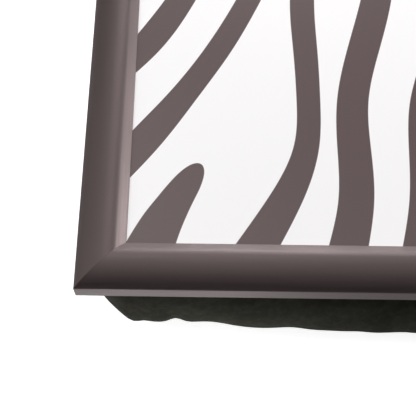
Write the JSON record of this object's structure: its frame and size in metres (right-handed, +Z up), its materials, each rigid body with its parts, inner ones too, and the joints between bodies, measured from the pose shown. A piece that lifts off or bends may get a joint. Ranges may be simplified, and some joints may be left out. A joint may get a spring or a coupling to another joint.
{
  "type": "lap tray with cushion",
  "caption": "Rectangular lap tray: mitred dark moulding frame round a laminated stripe-print panel, lifting off a bead-filled fabric cushion held by hook-and-loop pads.",
  "frame": {"origin": "on the surface that the cushion rests on, under the middle of the tray", "axes": "+X along the long front rail to the right, +Y from the front rail to the rear rail, +Z up"},
  "size_m": [0.448, 0.348, 0.0799],
  "materials": {
    "frame_moulding": "satin",
    "steel": "satin",
    "print": "gloss",
    "fibreboard": "matte",
    "backing": "matte",
    "hook_tape": "matte",
    "loop_tape": "matte",
    "cushion_fabric": "matte",
    "beads": "matte"
  },
  "bodies": {
    "cushion": {"cushion_cover": "cushion_fabric", "cushion_top_cloth": "cushion_fabric", "bead_filling": "beads", "loop_pad_front_left": "loop_tape", "loop_pad_front_right": "loop_tape", "loop_pad_rear_left": "loop_tape", "loop_pad_rear_right": "loop_tape"},
    "tray": {"front_rail": "frame_moulding", "rear_rail": "frame_moulding", "left_rail": "frame_moulding", "right_rail": "frame_moulding", "corner_nails": "steel", "panel_points": "steel", "print_sheet": "print", "tray_board": "fibreboard", "backing_sheet": "backing", "hook_pad_front_left": "hook_tape", "hook_pad_front_right": "hook_tape", "hook_pad_rear_left": "hook_tape", "hook_pad_rear_right": "hook_tape"}
  },
  "joints": [
    {"name": "tray_lift", "type": "slide", "parent": "cushion", "child": "tray", "axis": [0, 0, 1], "range_m": [0, 0.12]}
  ]
}
